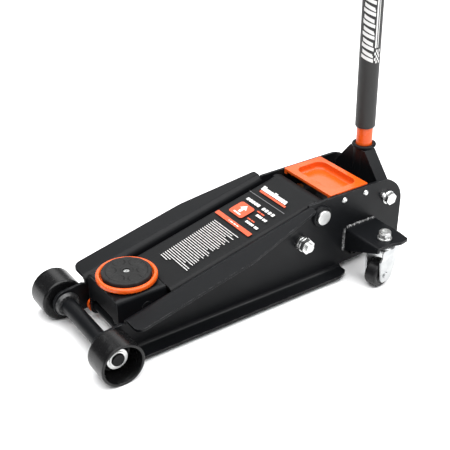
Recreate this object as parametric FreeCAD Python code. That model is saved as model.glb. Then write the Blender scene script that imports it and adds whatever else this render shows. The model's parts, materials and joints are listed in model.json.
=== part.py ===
"""Low-profile hydraulic floor jack, in millimetres.

X runs from the front wheels to the handle, Y from side to side, Z up.
Shapes are drawn with X = 0 at the front axle and moved to the middle of the
jack as they are written. The right-hand side (+Y) is drawn and the left is its
mirror image.
"""
import FreeCAD, Part
import math
import os
from FreeCAD import Vector

# ---- driving dimensions ----------------------------------------------------
CENTRE_X = 293.75            # middle of the jack, measured from the front axle
FIT = 0.05                   # radial clearance of a part fixed in its hole
RUN = 0.06                   # radial clearance of a turning or sliding fit

# side plates
WEB_IN, WEB_OUT = 67.0, 72.0
SHEET = 5.0
TOP_Z0, TOP_SLOPE = 68.6, 0.2343     # height of the sloping top edge at X = 0, and its rise
SLOPE_END_X = 402.0
REAR_X, REAR_TOP_Z = 625.0, 163.0
FLANGE_OUT_Y, SILL_OUT_Y = 115.5, 101.0
SILL_Z = 8.0
BEND_R = 12.0

# front wheels
WHEEL_R, WHEEL_IN_Y, WHEEL_OUT_Y = 37.5, 80.0, 130.0
AXLE_R, JOURNAL_R = 14.0, 11.0
WHEEL_RIM, WHEEL_DISC, HUB_R, HUB_END_Y = 5.0, 10.0, 17.0, 107.0

# pivots: arm, front pin, tie rod anchors and eyes, as (x, z)
ARM_PIVOT = (430.0, 135.0)
FRONT_PIN = (88.0, 68.0)
ROD_ANCHOR = (388.0, 95.0)
ROD_EYE = (46.0, 28.0)
YOKE_PIVOT = (590.0, 124.0)
SHAFT_R, PIN_R, ANCHOR_R, ROD_PIN_R, YOKE_BOLT_R = 11.0, 9.0, 8.0, 8.0, 8.0

# lift arm
ARM_Z0 = 60.0                # height of the arm's sloping top at X = 0
ARM_FRONT_X, ARM_HALF = 128.0, 62.0
ARM_SIDE_IN, ARM_SIDE_OUT = 36.0, 44.0
SLEEVE_OUT_R = 17.0
LEVER_R, LEVER_DEG = 86.0, 33.0      # roller distance, and its angle behind straight down
LEVER_IN, LEVER_OUT = 20.0, 30.0
ROLLER_R, ROLLER_PIN_R = 13.0, 8.0

# saddle and its block
SADDLE_X, SADDLE_R, SADDLE_Z = 80.5, 51.2, 96.0
RIM_Z, DISH_Z, PAD_Z = 107.5, 101.5, 113.0
BLOCK_FRONT_X, BLOCK_REAR_X, BLOCK_TOP_Z = 34.0, 124.5, 95.5
CHEEK_IN, CHEEK_OUT = 46.5, 51.5
ROD_IN, ROD_OUT = 52.5, 57.5

# hydraulic unit
RAM_Z, RAM_R, PISTON_R, BORE_R = 55.0, 13.0, 19.0, 19.05
TUBE_R, TANK_IN_R, TANK_R = 24.0, 30.0, 33.0
UNIT_FRONT_X, UNIT_REAR_X, TANK_END_X = 500.0, 566.0, 618.0
UNIT_HALF, UNIT_Z0, UNIT_Z1 = 54.0, 20.0, 112.0
PUMP_Y, PUMP_Z, PLUNGER_R = 38.0, 102.0, 6.5
PUMP_LEVER, PUMP_DEG, PUMP_ROLLER_R = 24.0, 32.5, 9.0
RAM_GAP, PUMP_GAP = 1.4, 0.6         # play between each roller and the face it pushes
UNIT_BOLTS = [(512.0, 36.0), (548.0, 77.0)]
BOLT_R = 5.0
SPRING_Y = 60.5

# tray, brackets and casters
TRAY_X0, TRAY_X1, TRAY_HALF, TRAY_Z = 454.0, 541.0, 66.4, 165.0
TRAY_SHEET, TRAY_DEPTH = 1.5, 14.0
TRAY_SCREWS = [(483.0, 150.0), (533.0, 150.0)]
BRACKET_X0, BRACKET_X1, BRACKET_Z = 488.0, 560.0, 91.0
CASTER_X, CASTER_Y, CASTER_R, CASTER_HALF = 523.0, 139.3, 25.5, 12.0
CASTER_TRAIL, CASTER_DEG = 10.5, 10.0
STEM_R, CASTER_AXLE_R = 6.0, 4.0

# handle
LEAN_DEG = 1.6                        # the stored handle leans towards the front
TUBE_OUT, TUBE_IN = 15.0, 13.0
SOCKET_R, SOCKET_Z0, SOCKET_Z1 = 19.0, 142.0, 208.0
CHEEK_Y0, CHEEK_Y1 = 56.0, 60.0
SLEEVE_Z0, SLEEVE_Z1, SLEEVE_R = 241.5, 600.0, 18.5
LOWER_TOP_Z, UPPER_FOOT_Z, UPPER_TOP_Z = 640.0, 560.0, 1180.0
GRIP_Z0, GRIP_R = 1040.0, 17.0
BALL_R, CUP_R = 9.0, 12.9

X, Y, Z = Vector(1, 0, 0), Vector(0, 1, 0), Vector(0, 0, 1)


# ---- drawing helpers -------------------------------------------------------
def box(x0, x1, y0, y1, z0, z1):
    return Part.makeBox(x1 - x0, y1 - y0, z1 - z0, Vector(x0, y0, z0))


def bar_y(at, r, y0, y1):
    """Round bar along Y at the point (x, z)."""
    return Part.makeCylinder(r, y1 - y0, Vector(at[0], y0, at[1]), Y)


def bar_x(at, r, x0, x1):
    """Round bar along X at the point (y, z)."""
    return Part.makeCylinder(r, x1 - x0, Vector(x0, at[0], at[1]), X)


def bar_z(at, r, z0, z1):
    """Round bar along Z at the point (x, y)."""
    return Part.makeCylinder(r, z1 - z0, Vector(at[0], at[1], z0), Z)


def ring_y(at, outer, inner, y0, y1):
    return bar_y(at, outer, y0, y1).cut(bar_y(at, inner, y0 - 1, y1 + 1))


def ring_x(at, outer, inner, x0, x1):
    return bar_x(at, outer, x0, x1).cut(bar_x(at, inner, x0 - 1, x1 + 1))


def ring_z(at, outer, inner, z0, z1):
    return bar_z(at, outer, z0, z1).cut(bar_z(at, inner, z0 - 1, z1 + 1))


def corner(before, at, after, r):
    """Start, middle and end of the arc that rounds one corner."""
    u = (before - at).normalize()
    v = (after - at).normalize()
    half = u.getAngle(v) / 2
    reach = r / math.tan(half)
    inward = (u + v).normalize()
    middle = at + inward * (r / math.sin(half) - r)
    return at + u * reach, middle, at + v * reach


def outline(points, plane):
    """Face with straight sides and rounded corners, from (u, v, radius) points."""
    place = {
        "XZ": lambda u, v: Vector(u, 0, v),
        "XY": lambda u, v: Vector(u, v, 0),
        "YZ": lambda u, v: Vector(0, u, v),
    }[plane]
    at = [place(u, v) for u, v, _ in points]
    count = len(points)
    turns = []
    for i, (_, _, r) in enumerate(points):
        if r:
            turns.append(corner(at[i - 1], at[i], at[(i + 1) % count], r))
        else:
            turns.append((at[i], None, at[i]))
    edges = []
    for i, (start, middle, end) in enumerate(turns):
        if middle is not None:
            edges.append(Part.Arc(start, middle, end).toShape())
        following = turns[(i + 1) % count][0]
        if (following - end).Length > 1e-6:
            edges.append(Part.LineSegment(end, following).toShape())
    return Part.Face(Part.Wire(edges))


def slab_y(points, y0, y1):
    """Plate standing across Y, from an outline in X and Z."""
    return outline(points, "XZ").translated(Vector(0, y0, 0)).extrude(Y * (y1 - y0))


def slab_z(points, z0, z1):
    """Flat plate, from an outline in X and Y."""
    return outline(points, "XY").translated(Vector(0, 0, z0)).extrude(Z * (z1 - z0))


def slab_x(points, x0, x1):
    """Plate standing across X, from an outline in Y and Z."""
    return outline(points, "YZ").translated(Vector(x0, 0, 0)).extrude(X * (x1 - x0))


def link(a, ra, b, rb, y0, y1):
    """Flat link between two round ends."""
    run = Vector(b[0] - a[0], 0, b[1] - a[1])
    length = run.Length
    run.normalize()
    tilt = math.asin((ra - rb) / length)
    sides = []
    for sign in (1, -1):
        out = Vector(-run.z * sign, 0, run.x * sign) * math.cos(tilt) + run * math.sin(tilt)
        sides.append((Vector(a[0], 0, a[1]) + out * ra, Vector(b[0], 0, b[1]) + out * rb))
    (p, q), (s, t) = sides
    body = Part.Face(Part.makePolygon([p, q, t, s, p])).translated(Vector(0, y0, 0))
    body = body.extrude(Y * (y1 - y0))
    return body.fuse(bar_y(a, ra, y0, y1)).fuse(bar_y(b, rb, y0, y1)).removeSplitter()


def hex_y(at, across, y0, y1):
    """Hexagon bar along Y."""
    r = across / math.sqrt(3)
    angles = [math.radians(60 * i + 12) for i in range(6)]
    points = [(at[0] + r * math.cos(a), at[1] + r * math.sin(a), 0) for a in angles]
    prism = slab_y(points, y0, y1)
    return prism.common(bar_y(at, r * 0.97, y0, y1))


def hex_z(at, across, z0, z1):
    """Hexagon bar along Z."""
    r = across / math.sqrt(3)
    angles = [math.radians(60 * i + 12) for i in range(6)]
    points = [(at[0] + r * math.cos(a), at[1] + r * math.sin(a), 0) for a in angles]
    prism = slab_z(points, z0, z1)
    return prism.common(bar_z(at, r * 0.97, z0, z1))


def turned(points, centre, axis):
    """Solid of revolution, from (along, radius, corner radius) points."""
    if axis == "Y":
        face = outline([(r, a, c) for a, r, c in points], "XY")
        spin = Y
    else:
        face = outline([(r, a, c) for a, r, c in points], "XZ")
        spin = Z
    return face.revolve(Vector(0, 0, 0), spin, 360).translated(centre)


def left(shape):
    return shape.mirror(Vector(0, 0, 0), Y)


def both(shape):
    return Part.makeCompound([left(shape), shape])


def joined(shapes):
    whole = shapes[0]
    for shape in shapes[1:]:
        whole = whole.fuse(shape)
    return whole.removeSplitter()


def lean(shape):
    """Tips a handle part towards the front about the yoke pivot."""
    pivot = Vector(YOKE_PIVOT[0], 0, YOKE_PIVOT[1])
    return shape.rotated(pivot, Y, -LEAN_DEG)


def about(pivot, radius, degrees):
    """Point at a radius from a pivot, at an angle behind straight down."""
    a = math.radians(degrees)
    return (pivot[0] + radius * math.sin(a), pivot[1] - radius * math.cos(a))


LEVER_PIN = about(ARM_PIVOT, LEVER_R, LEVER_DEG)
PUMP_PIN = about(YOKE_PIVOT, PUMP_LEVER, PUMP_DEG - LEAN_DEG)   # before the handle leans
PUMP_PIN_SET = about(YOKE_PIVOT, PUMP_LEVER, PUMP_DEG)          # as it stands in the jack
STEM_DIRECTION = Vector(-1, 0, -1).normalize()


# ---- frame -----------------------------------------------------------------
def top_line(x):
    return TOP_Z0 + TOP_SLOPE * x


def top_flange():
    """Sloping flange bent outwards along the plate's top, with its bend."""
    front, end = 36.0, SLOPE_END_X
    section = [
        (WEB_IN, -30, 0), (WEB_IN, 0, BEND_R), (FLANGE_OUT_Y, 0, 0),
        (FLANGE_OUT_Y, -SHEET, 0), (WEB_OUT, -SHEET, BEND_R - SHEET), (WEB_OUT, -30, 0),
    ]
    face = outline(section, "YZ").translated(Vector(front, 0, top_line(front)))
    rail = face.extrude(Vector(end - front, 0, TOP_SLOPE * (end - front)))
    plan = [
        (front, 60, 0), (front, FLANGE_OUT_Y, 14), (255, FLANGE_OUT_Y, 60),
        (end, 91, 4), (end, 60, 0),
    ]
    return rail.common(slab_z(plan, 0, 200))


def sill_flange():
    """Level flange bent outwards along the plate's bottom."""
    front, end = 44.0, 481.0
    low = SILL_Z
    section = [
        (WEB_IN, low + 30, 0), (WEB_OUT, low + 30, 0), (WEB_OUT, low + SHEET, BEND_R - SHEET),
        (SILL_OUT_Y, low + SHEET, 0), (SILL_OUT_Y, low, 0), (WEB_IN, low, BEND_R),
    ]
    rail = outline(section, "YZ").translated(Vector(front, 0, 0)).extrude(X * (end - front))
    plan = [
        (front, 60, 0), (front, SILL_OUT_Y, 10), (end - 20, SILL_OUT_Y, 6),
        (end, SILL_OUT_Y - 10, 5), (end, 60, 0),
    ]
    return rail.common(slab_z(plan, 0, 60))


def side_plate():
    """Pressed frame side: web with its rounded nose, and both flanges."""
    web = slab_y([
        (-24, 13.5, 22), (-24, 61.5, 22), (30, 67.5, 4), (36, top_line(36) - BEND_R, 0),
        (SLOPE_END_X, top_line(SLOPE_END_X) - BEND_R, 0), (SLOPE_END_X, REAR_TOP_Z, 0),
        (REAR_X, REAR_TOP_Z, 55), (REAR_X, 22, 14), (481, 18, 0), (470, 16, 0), (44, 16, 0),
    ], WEB_IN, WEB_OUT)
    plate = joined([web, top_flange(), sill_flange()])
    holes = [
        ((0, WHEEL_R), AXLE_R), (ARM_PIVOT, SHAFT_R), (ROD_ANCHOR, ANCHOR_R),
        (YOKE_PIVOT, YOKE_BOLT_R), ((575, 134), 5.0),
    ]
    holes += [(at, BOLT_R) for at in UNIT_BOLTS]
    holes += [(at, 3.0) for at in TRAY_SCREWS]
    for at, r in holes:
        plate = plate.cut(bar_y(at, r + FIT, WEB_IN - 2, WEB_OUT + 2))
    return plate


def front_axle():
    at = (0, WHEEL_R)
    shoulder = WHEEL_IN_Y - 1
    bar = bar_y(at, AXLE_R, -shoulder, shoulder)
    for sign in (1, -1):
        end = turned([(0, 0, 0), (0, JOURNAL_R, 0), (114, JOURNAL_R, 1.5), (114, 0, 0)],
                     Vector(0, 0, WHEEL_R), "Y")
        bar = bar.fuse(end if sign > 0 else left(end))
    return bar.removeSplitter()


def axle_welds():
    """Welded rings where the axle meets the inside of each plate."""
    ring = turned([(61, AXLE_R + FIT, 0), (61, 19, 2), (WEB_IN, 22, 0), (WEB_IN, AXLE_R + FIT, 0)],
                  Vector(0, 0, WHEEL_R), "Y")
    return [left(ring), ring]


def axle_washers():
    """Washer and retaining ring at each end of the front axle."""
    at = (0, WHEEL_R)
    washer = ring_y(at, 18, JOURNAL_R + FIT, HUB_END_Y + 0.3, HUB_END_Y + 2.5)
    circlip = ring_y(at, 14, JOURNAL_R + FIT, HUB_END_Y + 2.5, HUB_END_Y + 4.1)
    return Part.makeCompound([left(washer), left(circlip), washer, circlip])


def front_wheel():
    """Deep cup wheel: closed disc inside, open drum outside."""
    rim = WHEEL_R - WHEEL_RIM
    disc_y = WHEEL_IN_Y + WHEEL_DISC
    return turned([
        (WHEEL_IN_Y, JOURNAL_R + RUN, 0), (WHEEL_IN_Y, WHEEL_R, 4), (WHEEL_OUT_Y, WHEEL_R, 1.5),
        (WHEEL_OUT_Y, rim, 1.5), (disc_y, rim, 4), (disc_y, HUB_R + 3, 3),
        (HUB_END_Y, HUB_R, 1.5), (HUB_END_Y, JOURNAL_R + RUN, 0),
    ], Vector(0, 0, WHEEL_R), "Y")


def pivot_shaft():
    """Shaft that carries the lift arm, with a pressed cap on each end outside the plates."""
    half = turned([(0, 0, 0), (0, SHAFT_R, 0), (77.8, SHAFT_R, 0), (77.8, 13.8, 0.5),
                   (82.5, 13.8, 1.5), (82.5, 0, 0)],
                  Vector(ARM_PIVOT[0], 0, ARM_PIVOT[1]), "Y")
    return half.fuse(left(half)).removeSplitter()


def pivot_bosses():
    """Rings round the pivot shaft, outside and inside each plate."""
    outer = turned([(WEB_OUT, SHAFT_R + FIT, 0), (WEB_OUT, 20.5, 0), (77.5, 19, 1.5),
                    (77.5, SHAFT_R + FIT, 0)], Vector(ARM_PIVOT[0], 0, ARM_PIVOT[1]), "Y")
    inner = ring_y(ARM_PIVOT, 19, SHAFT_R + FIT, ARM_HALF + 0.6, WEB_IN)
    return Part.makeCompound([left(outer), left(inner), inner, outer])


def anchor_bolts():
    """Bolts that the tie rods turn on: a low round head inside, thread outside."""
    head = bar_y(ROD_ANCHOR, 12, 47.5, ROD_IN - 0.4)
    end = bar_y(ROD_ANCHOR, ANCHOR_R, 47.5, 96).fuse(bar_y(ROD_ANCHOR, ANCHOR_R - 1, 96, 97.5))
    return both(head.fuse(end).removeSplitter())


def anchor_nuts():
    """Nuts of the tie rod bolts, each on a collar with a washer at both ends."""
    nut = joined([
        bar_y(ROD_ANCHOR, 12.5, WEB_OUT, WEB_OUT + 4), bar_y(ROD_ANCHOR, 11, WEB_OUT + 3, 80.5),
        bar_y(ROD_ANCHOR, 13.5, 80, 82.5), hex_y(ROD_ANCHOR, 24, 82, 92),
    ])
    return both(nut.cut(bar_y(ROD_ANCHOR, ANCHOR_R + FIT, 70, 100)))


def cross_spacer():
    """Round bar welded between the plates below the arm."""
    at = (290, 28)
    ends = [bar_y(at, 12, WEB_IN - 3, WEB_IN), bar_y(at, 12, -WEB_IN, -WEB_IN + 3)]
    return joined([bar_y(at, 9, -WEB_IN, WEB_IN)] + ends)


def frame_pins():
    """Domed stop pins beside the yoke bolts, and the studs that hold the return springs."""
    stop = turned([(62, 0, 0), (62, 5, 1), (77, 5, 0), (80, 3, 1), (81, 0, 0)],
                  Vector(575, 0, 134), "Y")
    stud = bar_y((596, LEVER_PIN[1]), 4, 56, WEB_IN)
    return Part.makeCompound([left(stop), left(stud), stud, stop])


# ---- tray ------------------------------------------------------------------
def rounded_block(x0, x1, half, z0, z1, r):
    return slab_z([(x0, -half, r), (x1, -half, r), (x1, half, r), (x0, half, r)], z0, z1)


def tool_tray():
    """Pressed tray with a rounded basin, a front lip with tabs and side flanges."""
    t, top = TRAY_SHEET, TRAY_Z
    floor = top - TRAY_DEPTH
    deck = rounded_block(TRAY_X0, TRAY_X1, TRAY_HALF, top - t, top, 2)
    lip = box(TRAY_X0, TRAY_X0 + t, -TRAY_HALF + 1, TRAY_HALF - 1, top - 5, top - 0.5)
    tabs = [box(TRAY_X0, TRAY_X0 + t, s * 62 - 3, s * 62 + 3, top - 10, top - 0.5) for s in (1, -1)]
    sides = [slab_y([(470, 143, 3), (541, 143, 3), (541, top - 0.5, 0), (470, top - 0.5, 0)],
                    y0, y0 + t) for y0 in (TRAY_HALF - t, -TRAY_HALF)]
    tub = rounded_block(466.5, 532.5, 53.5, floor - t, top, 17.5)
    tub = tub.makeFillet(7.5, [e for e in tub.Edges if e.BoundBox.ZMax < floor - t + 0.01])
    hollow = rounded_block(468, 531, 52, floor, top + 5, 16)
    hollow = hollow.makeFillet(6, [e for e in hollow.Edges if e.BoundBox.ZMax < floor + 0.01])
    tray = joined([deck, lip] + tabs + sides + [tub]).cut(hollow)
    for at in TRAY_SCREWS:
        tray = tray.cut(bar_y(at, 3 + FIT, -80, 80))
    return tray.removeSplitter()


def tray_screws():
    screws = []
    for at in TRAY_SCREWS:
        screws.append(turned([(60, 0, 0), (60, 3, 0.5), (WEB_OUT, 3, 0), (WEB_OUT, 5.5, 0),
                              (74.5, 4, 1.5), (75.2, 0, 0)], Vector(at[0], 0, at[1]), "Y"))
    return Part.makeCompound([left(s) for s in screws] + screws)


# ---- caster brackets and casters -------------------------------------------
def caster_bracket():
    """Angle plate with a tapering front wall, welded to the side plate."""
    x0, x1, top = BRACKET_X0, BRACKET_X1, BRACKET_Z
    angle = slab_y([
        (x0, 43, 0), (x0, top, 6), (x1, top, 0), (x1, top - SHEET, 0),
        (x0 + SHEET, top - SHEET, 2), (x0 + SHEET, 43, 0),
    ], WEB_OUT, 167)
    plan = slab_z([
        (x0 - 5, WEB_OUT, 0), (x0 - 5, 160, 0), (x0 + 34, 161, 20), (x0 + 50, 167, 8),
        (x1 - 3, 164, 6), (x1, 138, 30), (x1, WEB_OUT, 0),
    ], 0, 120)
    taper = slab_x([(WEB_OUT - 1, 0, 0), (168, 0, 0), (168, 84, 0), (WEB_OUT - 1, 43, 0)],
                   x0 - 6, x0 + SHEET + 0.5)
    return angle.common(plan).cut(taper).cut(bar_z((CASTER_X, CASTER_Y), STEM_R + FIT, 60, 120))


def weld_beads():
    """Weld beads along the top and front of each bracket, and round the axle."""
    top_bead = bar_x((WEB_OUT + 0.5, BRACKET_Z + 0.5), 3, BRACKET_X0 + 4, BRACKET_X1 - 2)
    front_bead = bar_z((BRACKET_X0 - 0.5, WEB_OUT + 0.5), 3, 45, BRACKET_Z)
    bead = top_bead.fuse(front_bead).removeSplitter()
    room = box(400, 700, WEB_OUT, 200, 0, 200)
    bead = bead.common(room).cut(caster_bracket())
    return Part.makeCompound([left(bead), bead] + axle_welds())


def caster_stems():
    """Swivel bolts, heads inside the forks."""
    at = (CASTER_X, CASTER_Y)
    return both(bar_z(at, STEM_R, 70.5, 103).fuse(bar_z(at, 10, 70.5, 74.4)).removeSplitter())


def caster_nuts():
    at = (CASTER_X, CASTER_Y)
    nut = bar_z(at, 13, BRACKET_Z, BRACKET_Z + 2.5).fuse(hex_z(at, 21, BRACKET_Z + 2.5, 103))
    nut = nut.fuse(bar_z(at, 9.5, 103, 106))
    return both(nut.cut(bar_z(at, STEM_R + FIT, 80, 110)).removeSplitter())


def caster_races():
    at = (CASTER_X, CASTER_Y)
    race = turned([(81.2, STEM_R + FIT, 0), (81.2, 19, 1.5), (86, 14, 1), (86, STEM_R + FIT, 0)],
                  Vector(at[0], at[1], 0), "Z")
    return both(race)


def caster_set(shape):
    """Turns a caster part to its stored heading and puts it under its bracket."""
    return shape.rotated(Vector(0, 0, 0), Z, -CASTER_DEG).translated(Vector(CASTER_X, CASTER_Y, 0))


def caster_fork():
    """Pressed fork, with its domed cover, and the riveted wheel axle."""
    cheek = [
        (-23, 78, 3), (23, 78, 3), (23, 64, 6), (4, 12, 12), (-24, 12, 12), (-28, 58, 6),
        (-23, 66, 6),
    ]
    fork = joined([slab_y(cheek, 14, 17), slab_y(cheek, -17, -14),
                   slab_y([(-23, 78, 0), (23, 78, 0), (23, 75, 0), (-23, 75, 0)], -15, 15),
                   turned([(77, 0, 0), (77, 20, 0), (80.6, 17, 2), (80.6, 0, 0)],
                          Vector(0, 0, 0), "Z")])
    fork = fork.cut(bar_z((0, 0), STEM_R + RUN, 60, 100))
    at = (-CASTER_TRAIL, CASTER_R)
    fork = fork.cut(bar_y(at, CASTER_AXLE_R + FIT, -20, 20))
    heads = [bar_y(at, 6, 17, 19.2), bar_y(at, 6, -19.2, -17)]
    rivet = joined([bar_y(at, CASTER_AXLE_R, -18, 18)] + heads)
    return caster_set(Part.makeCompound([fork, rivet]))


def caster_wheel():
    half = CASTER_HALF
    profile = [
        (-half, CASTER_AXLE_R + RUN, 0), (-half, 9, 1), (-half + 2, 10, 0), (-half + 2, 16, 1),
        (-half, 18, 1), (-half, CASTER_R, 4), (half, CASTER_R, 4), (half, 18, 1),
        (half - 2, 16, 1), (half - 2, 10, 0), (half, 9, 1), (half, CASTER_AXLE_R + RUN, 0),
    ]
    return caster_set(turned(profile, Vector(-CASTER_TRAIL, 0, CASTER_R), "Y"))


# ---- lift arm --------------------------------------------------------------
def arm_cover():
    """Sloping top plate with turned-down edges, wrapped round the pivot at the rear."""
    slope = math.atan(TOP_SLOPE)
    thick = SHEET / math.cos(slope)
    section = [
        (-ARM_HALF, -14, 0), (-ARM_HALF, 0, 8), (ARM_HALF, 0, 8), (ARM_HALF, -14, 0),
        (ARM_HALF - 3, -14, 0), (ARM_HALF - 3, -thick, 2), (-ARM_HALF + 3, -thick, 2),
        (-ARM_HALF + 3, -14, 0),
    ]
    px, pz = ARM_PIVOT
    radius = (ARM_Z0 + TOP_SLOPE * px - pz) * math.cos(slope)
    end_x = px - radius * math.sin(slope)
    start = Vector(ARM_FRONT_X, 0, ARM_Z0 + TOP_SLOPE * ARM_FRONT_X)
    run = end_x + 1.5 - ARM_FRONT_X
    cover = outline(section, "YZ").translated(start).extrude(Vector(run, 0, TOP_SLOPE * run))
    room = box(ARM_FRONT_X, end_x + 1.5, -ARM_HALF, ARM_HALF, 0, 300)
    cover = cover.common(room)
    wrap = ring_y(ARM_PIVOT, radius, radius - SHEET, -ARM_HALF, ARM_HALF)
    sector = slab_y([
        (end_x - 4, pz + 40, 0), (px + 60, pz + 40, 0), (px + 60, pz - 16, 0), (px, pz, 0),
    ], -ARM_HALF, ARM_HALF)
    return cover.fuse(wrap.common(sector))


def lift_arm():
    """Welded arm: cover, two side plates, two spreaders and the pivot sleeve."""
    under = ARM_Z0 - SHEET + 1
    profile = [
        (74, 53.5, 14), (74, 82.5, 14), (123.5, 82.5, 0),
        (ARM_FRONT_X, under + TOP_SLOPE * ARM_FRONT_X, 0), (423, under + TOP_SLOPE * 423, 0),
        (452, 137, 10), (441, 111, 12), (395, 96, 30), (200, 58, 60),
    ]
    plate = slab_y(profile, ARM_SIDE_IN, ARM_SIDE_OUT)
    spreaders = [box(142, 148, -37, 37, 56, 88), box(345, 351, -37, 37, 92, 136)]
    sleeve = bar_y(ARM_PIVOT, SLEEVE_OUT_R, -ARM_HALF, ARM_HALF)
    slot = lever_shape(0.6)
    cover = arm_cover().cut(slot).cut(left(slot))
    arm = joined([cover, plate, left(plate), sleeve] + spreaders)
    arm = arm.cut(bar_y(ARM_PIVOT, SHAFT_R + RUN, -70, 70))
    return arm.cut(bar_y(FRONT_PIN, PIN_R + FIT, -70, 70))


def lever_shape(room):
    """One lever without its holes, grown by some room all round."""
    y0, y1 = LEVER_IN - room, LEVER_OUT + room
    plate = link(ARM_PIVOT, 20 + room, LEVER_PIN, 16 + room, y0, y1)
    under_cover = outline([
        (ARM_PIVOT[0] - 60, 0, 0), (ARM_PIVOT[0] - 60, ARM_PIVOT[1], 0),
        (ARM_PIVOT[0] - 5, ARM_PIVOT[1] + 19, 0), (ARM_PIVOT[0] + 14, ARM_PIVOT[1] + 19, 0),
        (ARM_PIVOT[0] + 90, ARM_PIVOT[1] - 10, 0), (ARM_PIVOT[0] + 90, 0, 0),
    ], "XZ").translated(Y * y0).extrude(Y * (y1 - y0))
    return plate.common(under_cover)


def lever_plates():
    """Pair of levers that hang from the sleeve and carry the roller."""
    plate = lever_shape(0)
    plate = plate.cut(bar_y(ARM_PIVOT, SLEEVE_OUT_R + FIT, 10, 40))
    return both(plate.cut(bar_y(LEVER_PIN, ROLLER_PIN_R + FIT, 10, 40)))


def roller_pin():
    return bar_y(LEVER_PIN, ROLLER_PIN_R, -63, 63)


def lift_roller():
    return turned([(-19, ROLLER_PIN_R + RUN, 0), (-19, ROLLER_R, 1), (19, ROLLER_R, 1),
                   (19, ROLLER_PIN_R + RUN, 0)], Vector(LEVER_PIN[0], 0, LEVER_PIN[1]), "Y")


def arm_pin():
    """Cross pin at the arm's nose, seen as a round end on each side of the block."""
    half = turned([(0, 0, 0), (0, PIN_R, 0), (52.2, PIN_R, 1.2), (52.2, 0, 0)],
                  Vector(FRONT_PIN[0], 0, FRONT_PIN[1]), "Y")
    return half.fuse(left(half)).removeSplitter()


# ---- saddle ----------------------------------------------------------------
def saddle_block():
    """Folded block that stays level: top, cheeks, front wall and tie rod lobes."""
    low, top = 13, BLOCK_TOP_Z
    channel = slab_x([
        (-CHEEK_OUT, low, 0), (-CHEEK_OUT, top, 8), (CHEEK_OUT, top, 8), (CHEEK_OUT, low, 0),
        (CHEEK_IN, low, 0), (CHEEK_IN, top - 5.5, 3), (-CHEEK_IN, top - 5.5, 3), (-CHEEK_IN, low, 0),
    ], BLOCK_FRONT_X, BLOCK_REAR_X)
    side = slab_y([
        (BLOCK_FRONT_X, top, 3), (BLOCK_REAR_X, top, 3), (BLOCK_REAR_X, 50, 14), (68, 46, 10),
        (60, low, 13), (BLOCK_FRONT_X, low, 11),
    ], -60, 60)
    front = slab_x([
        (-CHEEK_OUT + 1, 54, 0), (-38, 46, 6), (-30, 54, 6), (30, 54, 6), (38, 46, 6),
        (CHEEK_OUT - 1, 54, 0), (CHEEK_OUT - 1, 80, 0), (40, top - 1, 0), (-40, top - 1, 0),
        (-CHEEK_OUT + 1, 80, 0),
    ], BLOCK_FRONT_X, BLOCK_FRONT_X + SHEET)
    neck = bar_z((SADDLE_X, 0), 20, 79, top - 2)
    block = joined([channel.common(side), front, neck])
    block = block.cut(bar_z((SADDLE_X, 0), 12 + RUN, 70, 100))
    block = block.cut(bar_y(FRONT_PIN, PIN_R + RUN, -60, 60))
    return block.cut(bar_y(ROD_EYE, ROD_PIN_R + FIT, -60, 60))


def rod_pin():
    """Cross pin of the tie rods, with a flat head at each end."""
    heads = [bar_y(ROD_EYE, 11.5, 58.3, 61.3), bar_y(ROD_EYE, 11.5, -61.3, -58.3)]
    return joined([bar_y(ROD_EYE, ROD_PIN_R, -60, 60)] + heads)


def tie_rod():
    """Flat bar with a round eye at each end and a boss towards the frame."""
    bar = link(ROD_ANCHOR, 9, ROD_EYE, 9, ROD_IN, ROD_OUT)
    eyes = [bar_y(ROD_ANCHOR, 14, ROD_IN, ROD_OUT), bar_y(ROD_EYE, 15, ROD_IN, ROD_OUT)]
    boss = bar_y(ROD_ANCHOR, 12, ROD_OUT, WEB_IN - 0.4)
    bar = joined([bar, boss] + eyes)
    bar = bar.cut(bar_y(ROD_ANCHOR, ANCHOR_R + RUN, 40, 70))
    return bar.cut(bar_y(ROD_EYE, ROD_PIN_R + 0.5, 40, 70))


def saddle_cup():
    """Dished saddle with a raised rim and a stem that turns in the block."""
    z = SADDLE_Z
    return turned([
        (79, 0, 0), (79, 12, 1), (z, 12, 0), (z, SADDLE_R - 5, 3), (z + 4, SADDLE_R, 3),
        (RIM_Z, SADDLE_R, 3), (RIM_Z, SADDLE_R - 6.5, 2.5), (DISH_Z, SADDLE_R - 8, 1.5),
        (DISH_Z, 0, 0),
    ], Vector(SADDLE_X, 0, 0), "Z")


def saddle_pad():
    """Rubber pad in the dish, with a hole for its screw."""
    return turned([(DISH_Z, 6, 0), (DISH_Z, 42, 1.5), (PAD_Z, 42, 2.5), (PAD_Z, 6, 1)],
                  Vector(SADDLE_X, 0, 0), "Z")


def saddle_screw():
    top = PAD_Z - 2.5
    screw = turned([(DISH_Z, 0, 0), (DISH_Z, 5.5, 0), (top, 5.5, 1), (top, 0, 0)],
                   Vector(SADDLE_X, 0, 0), "Z")
    return screw.cut(hex_z((SADDLE_X, 0), 5, top - 3.5, top + 2))


# ---- hydraulic unit --------------------------------------------------------
def stem_bar(r, start, end):
    """Round bar along the release stem's slanting axis."""
    centre = Vector(YOKE_PIVOT[0], 0, YOKE_PIVOT[1])
    return Part.makeCylinder(r, end - start, centre + STEM_DIRECTION * start, STEM_DIRECTION)


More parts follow.
